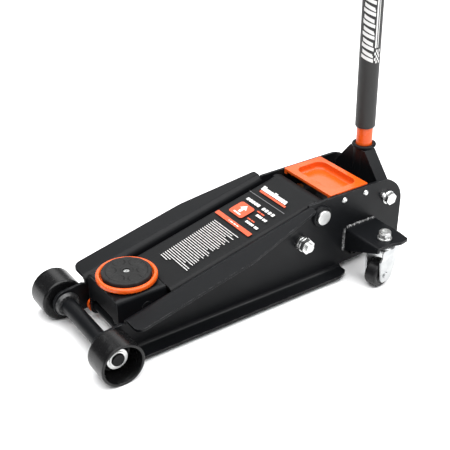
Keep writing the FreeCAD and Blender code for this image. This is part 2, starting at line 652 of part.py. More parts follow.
def power_block():
    """Cast body that holds the ram cylinder, the pump, the valves and the filler neck."""
    lower = slab_z([(UNIT_FRONT_X, -UNIT_HALF, 6), (UNIT_REAR_X, -UNIT_HALF, 10),
                    (UNIT_REAR_X, UNIT_HALF, 10), (UNIT_FRONT_X, UNIT_HALF, 6)], UNIT_Z0, 88)
    upper = slab_z([(UNIT_FRONT_X, -UNIT_HALF, 6), (560, -UNIT_HALF, 8),
                    (560, UNIT_HALF, 3), (UNIT_FRONT_X, UNIT_HALF, 6)], 87, UNIT_Z1)
    neck = slab_z([(461, 32, 5), (512, 32, 4), (512, 52, 4), (461, 52, 5)], UNIT_Z1 - 2, 128)
    bosses = [bar_y(at, 8, -WEB_IN, WEB_IN) for at in UNIT_BOLTS]
    block = joined([lower, upper, neck] + bosses)
    block = block.cut(bar_x((0, RAM_Z), TUBE_R + FIT, 490, 580))
    block = block.cut(bar_x((PUMP_Y, PUMP_Z), PLUNGER_R + RUN, 510, 570))
    block = block.cut(bar_x((PUMP_Y, PUMP_Z), 12.5, 545, 570))
    block = block.cut(stem_bar(5 + RUN, 0, 57))
    block = block.cut(bar_z((472, 42), 6 + FIT, 118, 130))
    block = block.cut(bar_z((530, -22), 7 + FIT, 102, 120))
    for at in UNIT_BOLTS:
        for y0 in (40, -70):
            block = block.cut(bar_y(at, BOLT_R + FIT, y0, y0 + 30))
    return block


def cylinder_tube():
    return ring_x((0, RAM_Z), TUBE_R, BORE_R, UNIT_FRONT_X, TANK_END_X)


def gland_nut():
    """Guide of the ram, screwed into the cylinder's mouth."""
    plug = bar_x((0, RAM_Z), BORE_R - FIT, UNIT_FRONT_X, 512)
    flange = bar_x((0, RAM_Z), 18, 494.5, UNIT_FRONT_X)
    return plug.fuse(flange).cut(bar_x((0, RAM_Z), RAM_R + RUN, 480, 530)).removeSplitter()


def reservoir_tube():
    return ring_x((0, RAM_Z), TANK_R, TANK_IN_R, UNIT_REAR_X, TANK_END_X)


def reservoir_cap():
    """End cap of the reservoir, with a hexagon boss."""
    disc = bar_x((0, RAM_Z), TANK_R, TANK_END_X, 622)
    r = 15
    angles = [math.radians(60 * i) for i in range(6)]
    boss = slab_x([(r * math.cos(a), RAM_Z + r * math.sin(a), 0) for a in angles], 621, 625)
    return disc.fuse(boss).removeSplitter()


def unit_plugs():
    """Brass filler plug on the neck, and the plug over the overload valve."""
    filler = bar_z((472, 42), 6, 118, 129).fuse(hex_z((472, 42), 14, 128, 134))
    relief = bar_z((530, -22), 7, 102, 113).fuse(hex_z((530, -22), 17, UNIT_Z1, 119))
    return Part.makeCompound([filler.removeSplitter(), relief.removeSplitter()])


def unit_bolts():
    bolts = []
    for at in UNIT_BOLTS:
        bolt = bar_y(at, BOLT_R, 42, 73).fuse(bar_y(at, 8, WEB_OUT, 77.5)).removeSplitter()
        bolts.append(bolt.cut(hex_y(at, 8, 74.5, 79)))
    return Part.makeCompound([left(b) for b in bolts] + bolts)


def ram():
    """Piston, rod and the flat head that pushes the lever roller."""
    face_x = LEVER_PIN[0] + ROLLER_R + RAM_GAP
    head = bar_x((0, RAM_Z), 15, face_x, 493.8)
    rod = bar_x((0, RAM_Z), RAM_R, face_x, 610)
    piston = bar_x((0, RAM_Z), PISTON_R, 607.5, 617)
    return joined([head, rod, piston])


def return_springs():
    """Coil springs that pull the arm down, as tubes of the coil's size."""
    x0 = LEVER_PIN[0] + ROLLER_PIN_R + 1
    return both(ring_x((SPRING_Y, LEVER_PIN[1]), 5, 3.2, x0, 590))


def plunger_face_x():
    return PUMP_PIN_SET[0] - PUMP_ROLLER_R - PUMP_GAP


def pump_plunger():
    face_x = plunger_face_x()
    rod = bar_x((PUMP_Y, PUMP_Z), PLUNGER_R, 540, face_x)
    return rod.fuse(bar_x((PUMP_Y, PUMP_Z), 11, face_x - 3, face_x)).removeSplitter()


def pump_spring():
    """Return spring of the plunger, as a tube of the coil's size."""
    return ring_x((PUMP_Y, PUMP_Z), 10.5, 7.4, 545.1, plunger_face_x() - 3.1)


def release_stem():
    """Slanting valve stem that ends in a ball with a cross pin, inside the handle's cup."""
    ball = Part.makeSphere(BALL_R, Vector(YOKE_PIVOT[0], 0, YOKE_PIVOT[1]))
    return joined([ball, stem_bar(5, 0, 56), bar_y(YOKE_PIVOT, 2, -11.5, 11.5)])


# ---- handle ----------------------------------------------------------------
def yoke_sheet():
    """Folded front of the yoke: a tapering plate with flanges turned back, and cheeks."""
    x0, x1, back = YOKE_PIVOT[0] - 16, YOKE_PIVOT[0] - 12, YOKE_PIVOT[0] + 9
    shape = [
        (-CHEEK_Y1, 132, 0), (-CHEEK_Y1, 152, 0), (-20, 201, 0), (20, 201, 0),
        (CHEEK_Y1, 152, 0), (CHEEK_Y1, 132, 0),
    ]
    t = 4.4
    hollow = [
        (-CHEEK_Y0, 120, 0), (-CHEEK_Y0, 152 - t / 2, 0), (-19, 201 - t, 0), (19, 201 - t, 0),
        (CHEEK_Y0, 152 - t / 2, 0), (CHEEK_Y0, 120, 0),
    ]
    return slab_x(shape, x0, back).cut(slab_x(hollow, x1, back + 1))


def yoke_cheek():
    """Side of the yoke, round the pivot bolt and down to the pump roller's pin."""
    px, pz = YOKE_PIVOT
    upper = slab_y([(px - 16, 150, 0), (px + 9, 150, 0), (px + 16, pz, 0), (px - 16, pz, 0)],
                   CHEEK_Y0, CHEEK_Y1)
    return joined([upper, bar_y(YOKE_PIVOT, 16, CHEEK_Y0, CHEEK_Y1)])


def handle_socket():
    """Yoke: socket tube with a rolled rim, folded sheet, cheeks and pump roller pin."""
    centre = (YOKE_PIVOT[0], 0)
    tube = bar_z(centre, SOCKET_R, SOCKET_Z0, SOCKET_Z1 - 2)
    rim = turned([(SOCKET_Z1 - 6, SOCKET_R - 2, 0), (SOCKET_Z1 - 6, 22.5, 2.9),
                  (SOCKET_Z1, 22.5, 2.9), (SOCKET_Z1, SOCKET_R - 2, 0)],
                 Vector(YOKE_PIVOT[0], 0, 0), "Z")
    lug = link(YOKE_PIVOT, 14, PUMP_PIN, 8, CHEEK_Y0, CHEEK_Y1)
    pin = bar_y(PUMP_PIN, 4, PUMP_Y - 9, CHEEK_Y1).fuse(bar_y(PUMP_PIN, 7, PUMP_Y + 8, CHEEK_Y1))
    yoke = joined([tube, rim, yoke_sheet(), yoke_cheek(), left(yoke_cheek()), lug, pin])
    yoke = yoke.cut(bar_z(centre, TUBE_OUT + RUN, 130, 220))
    yoke = yoke.cut(bar_y(YOKE_PIVOT, YOKE_BOLT_R + RUN, -70, 70))
    return lean(yoke.cut(bar_x((0, 176), 4 + FIT, YOKE_PIVOT[0], 620)))


def socket_screw():
    """Screw through the back of the socket that keeps the handle in."""
    x = YOKE_PIVOT[0]
    shank = bar_x((0, 176), 4, x + TUBE_OUT + 0.4, x + SOCKET_R + 2)
    return lean(shank.fuse(bar_x((0, 176), 7, x + SOCKET_R + 0.2, x + SOCKET_R + 5)).removeSplitter())


def yoke_bolts():
    """Short bolts that the yoke turns on, hexagon heads outside the plates."""
    bolt = bar_y(YOKE_PIVOT, YOKE_BOLT_R, 54.5, 75).fuse(hex_y(YOKE_PIVOT, 21, 74.5, 83))
    return both(bolt.removeSplitter())


def yoke_washers():
    outer = ring_y(YOKE_PIVOT, 13, YOKE_BOLT_R + FIT, WEB_OUT, 74.5)
    inner = ring_y(YOKE_PIVOT, 13, YOKE_BOLT_R + FIT, CHEEK_Y1 + 0.5, WEB_IN)
    return Part.makeCompound([left(outer), left(inner), inner, outer])


def pump_roller():
    return lean(turned([(-7.5, 4 + RUN, 0), (-7.5, PUMP_ROLLER_R, 1), (7.5, PUMP_ROLLER_R, 1),
                        (7.5, 4 + RUN, 0)], Vector(PUMP_PIN[0], PUMP_Y, PUMP_PIN[1]), "Y"))


def release_cup():
    """Slotted cup at the foot of the handle that turns the ball's cross pin."""
    centre = (YOKE_PIVOT[0], 0)
    pz = YOKE_PIVOT[1]
    cup = bar_z(centre, CUP_R, pz - 1.5, pz + 26)
    cup = cup.cut(Part.makeSphere(BALL_R + 0.35, Vector(centre[0], 0, pz)))
    cup = cup.cut(bar_z(centre, BALL_R + 0.35, pz - 5, pz))
    slot = box(centre[0] - 4.2, centre[0] + 4.2, -20, 20, pz - 5, pz + 11)
    return lean(cup.cut(slot))


def lower_tube():
    """Lower half of the handle, with the hole of the joint button."""
    tube = ring_z((YOKE_PIVOT[0], 0), TUBE_OUT, TUBE_IN, 138, LOWER_TOP_Z)
    return lean(tube.cut(bar_x((0, 620), 4, YOKE_PIVOT[0] - 20, YOKE_PIVOT[0])))


def foam_sleeve():
    return lean(turned([
        (SLEEVE_Z0, TUBE_OUT + FIT, 0), (SLEEVE_Z0, SLEEVE_R, 2.4), (SLEEVE_Z1, SLEEVE_R, 2.4),
        (SLEEVE_Z1, TUBE_OUT + FIT, 0),
    ], Vector(YOKE_PIVOT[0], 0, 0), "Z"))


def upper_tube():
    """Upper half of the handle, pushed into the lower half."""
    tube = ring_z((YOKE_PIVOT[0], 0), TUBE_IN - FIT, 11, UPPER_FOOT_Z, UPPER_TOP_Z)
    return lean(tube.cut(bar_x((0, 620), 4, YOKE_PIVOT[0] - 20, YOKE_PIVOT[0])))


def joint_button():
    """Sprung button that locks the two halves together."""
    x = YOKE_PIVOT[0]
    return lean(bar_x((0, 620), 3.9, x - 17, x - 9))


def handle_grip():
    """Closed rubber grip over the top of the handle."""
    return lean(turned([
        (GRIP_Z0, TUBE_IN, 0), (GRIP_Z0, GRIP_R + 1.5, 2), (GRIP_Z0 + 8, GRIP_R, 2),
        (UPPER_TOP_Z + 5, GRIP_R, 5), (UPPER_TOP_Z + 5, 0, 0), (UPPER_TOP_Z, 0, 0),
        (UPPER_TOP_Z, TUBE_IN, 0),
    ], Vector(YOKE_PIVOT[0], 0, 0), "Z"))


# ---- the nodes -------------------------------------------------------------
def pair(name, shape):
    """Left and right copies of one part, as two nodes."""
    return {name + "_left": left(shape), name + "_right": shape}


def nodes():
    out = {}
    out.update(pair("side_plate", side_plate()))
    out.update(pair("caster_bracket", caster_bracket()))
    out.update(pair("front_wheel", front_wheel()))
    out.update(pair("caster_fork", caster_fork()))
    out.update(pair("caster_wheel", caster_wheel()))
    out.update(pair("tie_rod", tie_rod()))
    singles = [
        front_axle, axle_washers, pivot_shaft, pivot_bosses, anchor_bolts, anchor_nuts,
        cross_spacer, frame_pins, tool_tray, tray_screws, weld_beads, caster_stems, caster_nuts,
        caster_races, lift_arm, lever_plates, roller_pin, lift_roller, arm_pin, saddle_block,
        rod_pin, saddle_cup, saddle_pad, saddle_screw, power_block, cylinder_tube, gland_nut,
        reservoir_tube, reservoir_cap, unit_plugs, unit_bolts, ram, return_springs, pump_plunger,
        pump_spring, release_stem, handle_socket, socket_screw, yoke_bolts, yoke_washers,
        pump_roller, release_cup, lower_tube, foam_sleeve, upper_tube, joint_button, handle_grip,
    ]
    for make in singles:
        out[make.__name__] = make()
    return out


def main():
    os.makedirs("parts", exist_ok=True)
    made = nodes()
    for name, shape in made.items():
        shape = shape.translated(Vector(-CENTRE_X, 0, 0))
        shape.exportStep(os.path.join("parts", name + ".step"))
        box_ = shape.BoundBox
        print(f"{name:22s} solids {len(shape.Solids)} valid {shape.isValid()} "
              f"volume {shape.Volume / 1000:9.2f} cm3  z {box_.ZMin:7.1f} {box_.ZMax:7.1f}")
    print(len(made), "nodes")


main()
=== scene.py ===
# %% [markdown]
# # A low floor jack, finished in Blender
#
# A floor jack is folded and welded steel sheet under a powder coat, with a few bright pins and
# bolts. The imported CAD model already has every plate, pin and pivot at its true size, so it stays
# as the frame, and nothing in it is moved. Blender adds what a CAD solid leaves out: the finish of
# each surface, printed panels, coils, threads, weld ripples and moulded rubber.
#
# The scene is in metres, and lengths below are written in millimetres times MM.

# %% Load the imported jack
import json
import math

import bmesh
import bpy
import numpy as np
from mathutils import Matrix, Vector


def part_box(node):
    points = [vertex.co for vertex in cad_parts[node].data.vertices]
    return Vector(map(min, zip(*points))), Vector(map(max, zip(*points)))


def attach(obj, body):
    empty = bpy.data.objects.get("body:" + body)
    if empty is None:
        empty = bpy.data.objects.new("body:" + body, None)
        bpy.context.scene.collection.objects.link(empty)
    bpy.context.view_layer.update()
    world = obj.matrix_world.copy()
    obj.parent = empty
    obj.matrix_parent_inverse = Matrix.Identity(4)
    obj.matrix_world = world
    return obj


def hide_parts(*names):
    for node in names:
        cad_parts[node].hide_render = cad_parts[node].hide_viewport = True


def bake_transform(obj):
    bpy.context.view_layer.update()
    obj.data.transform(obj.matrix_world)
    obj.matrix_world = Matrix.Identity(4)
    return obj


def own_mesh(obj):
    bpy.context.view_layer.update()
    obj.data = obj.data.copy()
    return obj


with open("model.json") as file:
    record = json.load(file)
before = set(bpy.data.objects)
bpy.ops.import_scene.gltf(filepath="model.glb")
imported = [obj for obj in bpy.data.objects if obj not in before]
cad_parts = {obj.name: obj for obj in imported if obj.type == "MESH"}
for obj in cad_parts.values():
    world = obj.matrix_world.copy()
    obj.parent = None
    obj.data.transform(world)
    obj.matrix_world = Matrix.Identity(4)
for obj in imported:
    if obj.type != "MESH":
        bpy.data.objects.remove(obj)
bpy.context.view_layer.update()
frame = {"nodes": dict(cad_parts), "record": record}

MM = 0.001
nodes = frame["nodes"]
joints = {joint["name"]: joint for joint in frame["record"]["behaviour"]["joints"]}


# %% [markdown]
# ## Where things are
#
# Places are read from the frame, never guessed. A node's box gives its ends and its middle, and a
# joint in the record gives a pivot and an axis.

# %% Places from the frame
def ends(node):
    """Lowest and highest corner of a CAD node, as arrays."""
    low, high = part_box(node)
    return np.array(low), np.array(high)


def middle(node):
    low, high = ends(node)
    return (low + high) / 2


def pivot(joint):
    return np.array(joints[joint]["pos_m"], float)


SIDES = {"left": -1, "right": 1}
handle_foot = pivot("handle_twist")
handle_way = np.array(joints["handle_twist"]["axis"], float)
print("handle leans", round(math.degrees(math.asin(-handle_way[0])), 2), "degrees forwards")


# %% [markdown]
# ## Surfaces as grids of points
#
# Each new piece is a grid of points worked out with numpy, and its faces join neighbouring points.
# The columns run round the piece and the rows run along it, so one helper can close any of them.
# Writing faces by hand would be slower and would hide the shape's formula.

# %% Grids to closed skins
def grid_faces(rows, columns, ring):
    """Faces between neighbours. Columns always wrap, rows wrap only in a ring."""
    row = np.arange(rows if ring else rows - 1)[:, None]
    column = np.arange(columns)[None, :]
    below, beside = (row + 1) % rows, (column + 1) % columns
    corners = [row * columns + column, row * columns + beside,
               below * columns + beside, below * columns + column]
    return np.stack([np.broadcast_to(c, (row.size, columns)).ravel() for c in corners], axis=1)


def skin(points, ring=False):
    """A closed skin: the end rows get a flat face each, unless the rows join up in a ring."""
    rows, columns = points.shape[:2]
    faces = grid_faces(rows, columns, ring).tolist()
    if not ring:
        last = (rows - 1) * columns
        faces += [list(range(columns)), list(range(last, last + columns))]
    return points.reshape(-1, 3), faces


def make_piece(name, skins, finish, body, hides=(), sharp=35):
    """One object from closed skins, which rides on a body and may stand for CAD nodes."""
    vertices, faces, start = [], [], 0
    for points, corners in skins:
        vertices.append(points)
        faces += [[corner + start for corner in face] for face in corners]
        start += len(points)
    mesh = bpy.data.meshes.new(name)
    mesh.from_pydata(np.concatenate(vertices).tolist(), [], faces)
    face_outwards(mesh)
    mesh.shade_smooth()
    mesh.set_sharp_from_angle(angle=math.radians(sharp))
    mesh.materials.append(finish)
    piece = bpy.data.objects.new(name, mesh)
    bpy.context.scene.collection.objects.link(piece)
    if body:
        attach(piece, body)
    if hides:
        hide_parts(*hides)
    print(f"{name}: {len(skins)} skins, {len(mesh.vertices)} points")
    return piece


def face_outwards(mesh):
    """Turns every face of each closed skin so that it points out of the solid."""
    shell = bmesh.new()
    shell.from_mesh(mesh)
    bmesh.ops.recalc_face_normals(shell, faces=shell.faces)
    shell.to_mesh(mesh)
    shell.free()


# %% [markdown]
# ## Round shapes
#
# Pins, threads and coils are all circles carried along a line. Three vectors square to each other
# give the circle's plane, so the same sums serve an axle, a leaning handle or a bent wire.

# %% Round shapes about any axis
def square_to(axis):
    """The axis as a unit vector, and two more unit vectors square to it."""
    axis = np.array(axis, float)
    axis /= np.linalg.norm(axis)
    helper = np.array([1.0, 0, 0]) if abs(axis[0]) < 0.9 else np.array([0, 1.0, 0])
    side = np.cross(axis, helper)
    side /= np.linalg.norm(side)
    return axis, side, np.cross(axis, side)


def turn(columns):
    """Angles of a full turn, as one row."""
    return np.linspace(0, 2 * math.pi, columns, endpoint=False)[None, :]


def around(centre, axis, along, radius, angle):
    """Point = centre + axis * along + side * radius * cos(angle) + up * radius * sin(angle)."""
    axis, side, up = square_to(axis)
    along, radius, angle = np.broadcast_arrays(along, radius, angle)
    return (np.asarray(centre) + axis * along[..., None]
            + side * (radius * np.cos(angle))[..., None] + up * (radius * np.sin(angle))[..., None])


def lathe(centre, axis, profile, columns=72):
    """A turned piece from (along, radius) pairs."""
    along, radius = np.array(profile, float).T
    return around(centre, axis, along[:, None], radius[:, None], turn(columns))


def along_path(path, radius, reference, columns=10, phase=0):
    """A rod along a path: each ring of points lies square to the path's direction."""
    path = np.asarray(path, float)
    ahead = np.gradient(path, axis=0)
    ahead /= np.linalg.norm(ahead, axis=1)[:, None]
    side = np.cross(ahead, reference)
    side /= np.linalg.norm(side, axis=1)[:, None]
    up = np.cross(ahead, side)
    angle = turn(columns)[..., None] + phase
    radius = np.broadcast_to(radius, (len(path), columns))[..., None]
    spoke = np.cos(angle) * side[:, None, :] + np.sin(angle) * up[:, None, :]
    return path[:, None, :] + radius * spoke


print("a test ring has", lathe((0, 0, 0), (0, 0, 1), [(0, 1), (1, 1)]).shape, "points")


# %% [markdown]
# ## Shader sums as Python sums
#
# A finish is a small graph of nodes. Writing each Math node by hand takes five lines, so a thin
# class wraps a socket and lets Python's own signs add the nodes: `1 - mask * 0.3` makes two.

# %% A class for sockets, and one for a finish
class Signal:
    """The output socket of a shader node."""

    def __init__(self, finish, socket):
        self.finish, self.socket = finish, socket

    def maths(self, operation, first, second=None):
        inputs = {0: first} if second is None else {0: first, 1: second}
        return self.finish.node("ShaderNodeMath", {"operation": operation}, inputs)

    def __add__(self, other):
        return self.maths("ADD", self, other)

    def __mul__(self, other):
        return self.maths("MULTIPLY", self, other)

    def __sub__(self, other):
        return self.maths("SUBTRACT", self, other)

    def __rsub__(self, other):
        return self.maths("SUBTRACT", other, self)

    def __pow__(self, other):
        return self.maths("POWER", self, other)

    def __abs__(self):
        return self.maths("ABSOLUTE", self)

    def between(self, low, high):
        """Rises smoothly from 0 at low to 1 at high."""
        settings = {"interpolation_type": "SMOOTHSTEP"}
        return self.finish.node("ShaderNodeMapRange", settings,
                                {"Value": self, "From Min": low, "From Max": high})

    __radd__, __rmul__ = __add__, __mul__


class Finish:
    """A material under construction."""

    def __init__(self, name):
        self.material = bpy.data.materials.new(name)
        self.material.use_nodes = True
        self.tree = self.material.node_tree
        self.tree.nodes.clear()
        self.place = self.node("ShaderNodeTexCoord", output="Object")

    def node(self, kind, settings=None, inputs=None, output=0):
        """Adds a node: its settings first, then the values or links of its sockets."""
        made = self.tree.nodes.new(kind)
        for key, value in (settings or {}).items():
            if key == "stops":
                self.set_stops(made.color_ramp, value)
            else:
                setattr(made, key, value)
        for key, value in (inputs or {}).items():
            if isinstance(value, Signal):
                self.tree.links.new(value.socket, made.inputs[key])
            else:
                made.inputs[key].default_value = value
        return Signal(self, made.outputs[output])

    @staticmethod
    def set_stops(ramp, stops):
        while len(ramp.elements) < len(stops):
            ramp.elements.new(1.0)
        for element, (position, colour) in zip(ramp.elements, stops):
            element.position = position
            element.color = colour

    def noise(self, scale, detail=2.0, roughness=0.5, vector=None):
        """Noise from 0 to 1, with its scale in waves per metre."""
        return self.node("ShaderNodeTexNoise", None, {
            "Vector": vector or self.place, "Scale": scale, "Detail": detail,
            "Roughness": roughness}, "Fac")

    def cells(self, scale, output="Distance"):
        return self.node("ShaderNodeTexVoronoi", None,
                         {"Vector": self.place, "Scale": scale}, output)

    def blend(self, share, first, second):
        """Mixes two colours."""
        return self.node("ShaderNodeMix", {"data_type": "RGBA"},
                         {0: share, 6: first, 7: second}, 2)

    def rounded_edge(self, radius):
        """Normal of an edge rounded by this radius, as light sees it."""
        return self.node("ShaderNodeBevel", {"samples": 4}, {"Radius": radius})

    def edge(self, rounded):
        """1 on an outer or inner edge and 0 on a flat face."""
        flat = self.node("ShaderNodeNewGeometry", output="Normal")
        match = self.node("ShaderNodeVectorMath", {"operation": "DOT_PRODUCT"},
                          {0: rounded, 1: flat}, "Value")
        return (1 - match).between(0.01, 0.16)

    def bump(self, height, depth, normal=None):
        """Tilts the surface as if the height stood out by this depth in metres."""
        inputs = {"Height": height, "Distance": depth, "Strength": 1.0}
        if normal:
            inputs["Normal"] = normal
        return self.node("ShaderNodeBump", None, inputs)

    def close(self, **sockets):
        """Joins the surface to the output, and hands back the finished material."""
        names = {key.replace("_", " "): value for key, value in sockets.items()}
        surface = self.node("ShaderNodeBsdfPrincipled", None, names)
        output = self.tree.nodes.new("ShaderNodeOutputMaterial")
        self.tree.links.new(surface.socket, output.inputs["Surface"])
        return self.material


def colour(red, green, blue):
    return (red, green, blue, 1.0)


print("shader helpers ready")


# %% [markdown]
# ## Powder coat
#
# Powder coat is melted plastic dust. It flows into a skin with a fine orange-peel ripple, about one
# to two millimetres from crest to crest, and it thins on sharp edges, where handling wears it. The
# edges are painted lighter, partly for that wear and partly as a painted highlight along the bends.
# The sheet's real edges are rounded by the coat, so the edge's normal is rounded in the shader
# rather than in thousands of extra faces.

# %% Powder coat finishes
def powder_coat(name, base, worn_and_lit_edge_tone, gloss, peel, shine, edge_round=1.1 * MM):
    """Base colour, edge tone for worn coat and painted highlight, roughness, depth of the peel, and
    strength of shine.
    """
    f = Finish(name)
    rounded = f.rounded_edge(edge_round)
    # Edges are painted lighter: partly worn coat, partly a painted highlight along each bend.
    edge_wear_and_highlight = f.edge(rounded) * f.noise(90, 4).between(0.40, 0.62)
    handling = f.noise(14, 3)
    dust = f.noise(420, 2).between(0.66, 0.74) * 0.35
    tint = f.blend(edge_wear_and_highlight * 0.6 + dust * 0.05, base, worn_and_lit_edge_tone)
    ripple = f.noise(620, 1.0) * 0.7 + f.noise(1900, 1.0) * 0.3
    return f.close(
        Base_Color=tint,
        Roughness=handling.between(0.25, 0.75) * 0.12 + (gloss - 0.04) + dust * 0.1,
        Specular_IOR_Level=shine,
        Normal=f.bump(ripple, peel, rounded),
    )


# The second colour of each coat is its edge tone: worn coat and a painted highlight.
black_coat = powder_coat("black_coat", colour(0.0040, 0.0044, 0.0052), colour(0.15, 0.152, 0.158),
                         0.36, 0.030 * MM, 0.13)
black_arm = powder_coat("black_arm", colour(0.0050, 0.0053, 0.0058), colour(0.11, 0.11, 0.114),
                        0.46, 0.022 * MM, 0.14)
orange_coat = powder_coat("orange_coat", colour(0.62, 0.080, 0.0065), colour(0.72, 0.19, 0.05),
                          0.25, 0.022 * MM, 0.36, 0.5 * MM)
print("powder coats:", black_coat.name, black_arm.name, orange_coat.name)


# %% [markdown]
# ## Bare and plated metal
#
# Zinc plate is bright but soft, with a faint cloudy grain and small stains. Turned steel carries
# fine rings from the tool. Both are true metals, so their colour is a reflection colour.

# %% Metal finishes
def plated(name, tone, stain, rough, grain=900, edge_round=0.5 * MM):
    f = Finish(name)
    rounded = f.rounded_edge(edge_round)
    cloud = f.noise(60, 4, 0.6)
    speck = f.noise(grain, 3, 0.65)
    tint = f.blend(cloud.between(0.35, 0.75) * 0.7, tone, stain)
    return f.close(
        Base_Color=tint,
        Metallic=1.0,
        Roughness=cloud * 0.16 + speck * 0.12 + (rough - 0.14),
        Normal=f.bump(speck, 0.012 * MM, rounded),
    )


def turned_metal(name, tone, rough, axis_scale, depth=0.006 * MM):
    """Fine tool rings: noise stretched so that it changes only along the turning axis."""
    f = Finish(name)
    stretched = f.node("ShaderNodeMapping", None, {"Vector": f.place, "Scale": axis_scale})
    rings = f.noise(1.0, 3, 0.7, stretched)
    cloud = f.noise(45, 3)
    tint = f.blend(cloud, colour(*tone), colour(*(0.82 * part for part in tone)))
    return f.close(
        Base_Color=tint,
        Metallic=1.0,
        Roughness=rings * 0.16 + (rough - 0.08),
        Normal=f.bump(rings, depth, f.rounded_edge(0.4 * MM)),
    )


zinc = plated("bright_zinc", colour(0.66, 0.665, 0.655), colour(0.50, 0.51, 0.515), 0.34)
zinc_dull = plated("satin_zinc", colour(0.50, 0.51, 0.51), colour(0.36, 0.37, 0.38), 0.36, 500)
spring_wire = plated("spring_wire", colour(0.24, 0.24, 0.25), colour(0.14, 0.135, 0.135), 0.38)
brass = plated("turned_brass", colour(0.80, 0.56, 0.22), colour(0.58, 0.38, 0.14), 0.28)
chrome_rod = turned_metal("chrome_rod", (0.86, 0.87, 0.88), 0.14, (2600, 40, 40), 0.003 * MM)
ground_steel = turned_metal("ground_steel", (0.56, 0.56, 0.57), 0.32, (60, 2400, 60))
print("metals:", zinc.name, zinc_dull.name, chrome_rod.name, ground_steel.name)


# %% [markdown]
# ## Castings, welds, rubber, foam and print
#
# The power block is sand cast, so its coat lies over a grainy skin. The wheels' drums are rough
# inside, where nobody machines them. Rubber is matt with a fine moulded grain, and foam shows its
# open cells. Print is thin ink, so its edges and middle vary a little.

# %% The other finishes
def painted_casting():
    f = Finish("painted_casting")
    rounded = f.rounded_edge(1.6 * MM)
    sand = f.noise(380, 5, 0.65)
    lumps = f.noise(70, 3)
    tint = f.blend(sand.between(0.45, 0.8) * 0.6,
                   colour(0.008, 0.008, 0.009), colour(0.028, 0.028, 0.030))
    return f.close(Base_Color=tint, Roughness=sand * 0.25 + 0.34,
                   Normal=f.bump(sand * 0.6 + lumps * 0.8, 0.35 * MM, rounded))


WHEEL_HUB = middle("front_wheel_left")
DRUM_REACH = 31.5 * MM               # from the axle to just short of the drum's wall
DISC_FACE = 90 * MM                  # from the jack's middle to the outer face of the disc


def inside_drum(f, half_track):
    """1 nearer to the axle than the drum's wall, and outside its disc."""
    x = f.node("ShaderNodeSeparateXYZ", None, {0: f.place}, "X") - float(WHEEL_HUB[0])
    z = f.node("ShaderNodeSeparateXYZ", None, {0: f.place}, "Z") - float(WHEEL_HUB[2])
    near_axle = 1 - ((x * x + z * z) ** 0.5).between(DRUM_REACH, DRUM_REACH + 1.2 * MM)
    return near_axle * half_track.between(DISC_FACE - 2 * MM, DISC_FACE)


def wheel_steel():
    """Glossy tread, and a coarse skin inside the drum with painted bright glints speckled on it."""
    f = Finish("wheel_enamel")
    rounded = f.rounded_edge(1.0 * MM)
    half_track = abs(f.node("ShaderNodeSeparateXYZ", None, {0: f.place}, "Y"))
    inside = inside_drum(f, half_track)
    grit = f.noise(700, 4, 0.7)
    scuff = f.noise(60, 4, 0.6).between(0.55, 0.75)
    # Painted highlight: bright glints speckled inside the drum, where little light reaches.
    painted_drum_glints = grit.between(0.56, 0.66) * inside
    tint = f.blend(painted_drum_glints * 0.9 + scuff * 0.03,
                   colour(0.0035, 0.0035, 0.0038), colour(0.22, 0.22, 0.22))
    ripple = f.noise(500, 1.0) * 0.05 + grit * inside
    return f.close(Base_Color=tint, Specular_IOR_Level=0.26,
                   Roughness=scuff * 0.08 + grit * 0.03 + 0.25,
                   Normal=f.bump(ripple, 0.30 * MM, rounded))


def moulded(name, base, light, rough, grain, depth, edge_round=0.7 * MM):
    """Rubber or plastic with a moulded grain and a little dust in it."""
    f = Finish(name)
    rounded = f.rounded_edge(edge_round)
    texture = f.noise(grain, 3, 0.6)
    dust = f.noise(50, 5, 0.65)
    tint = f.blend(dust.between(0.45, 0.75) * 0.5 + texture * 0.2, base, light)
    return f.close(Base_Color=tint, Specular_IOR_Level=0.20,
                   Roughness=texture * 0.12 + dust * 0.10 + (rough - 0.11),
                   Normal=f.bump(texture, depth, rounded))


def foam():
    f = Finish("closed_foam")
    cell = f.cells(1500)
    drift = f.noise(22, 3)
    tint = f.blend(cell * 0.5 + drift * 0.4,
                   colour(0.011, 0.011, 0.011), colour(0.026, 0.026, 0.0255))
    return f.close(Base_Color=tint, Roughness=cell * 0.14 + 0.42, Specular_IOR_Level=0.34,
                   Normal=f.bump(cell, 0.05 * MM))


def weld_skin():
    """Coat over a weld: lighter on the crests of its ripples, and more so towards the rear."""
    f = Finish("painted_weld")
    grit = f.noise(600, 4, 0.65)
    crest = f.noise(240, 2).between(0.45, 0.7)
    rear = f.node("ShaderNodeSeparateXYZ", None, {0: f.place}, "X").between(-0.15, 0.05)
    # Crests are lighter, and lighter still towards the rear of the jack.
    tint = f.blend(crest * (rear * 0.65 + 0.12),
                   colour(0.012, 0.0125, 0.013), colour(0.42, 0.42, 0.425))
    return f.close(Base_Color=tint, Roughness=grit * 0.2 + 0.30, Normal=f.bump(grit, 0.12 * MM))


def ink(name, base, thin):
    """Screen-printed ink: a dense colour that thins in specks."""
    f = Finish(name)
    speck = f.noise(1300, 3, 0.6)
    tint = f.blend(speck.between(0.60, 0.78) * 0.35, base, thin)
    return f.close(Base_Color=tint, Roughness=speck * 0.15 + 0.38, Normal=f.bump(speck, 0.010 * MM))


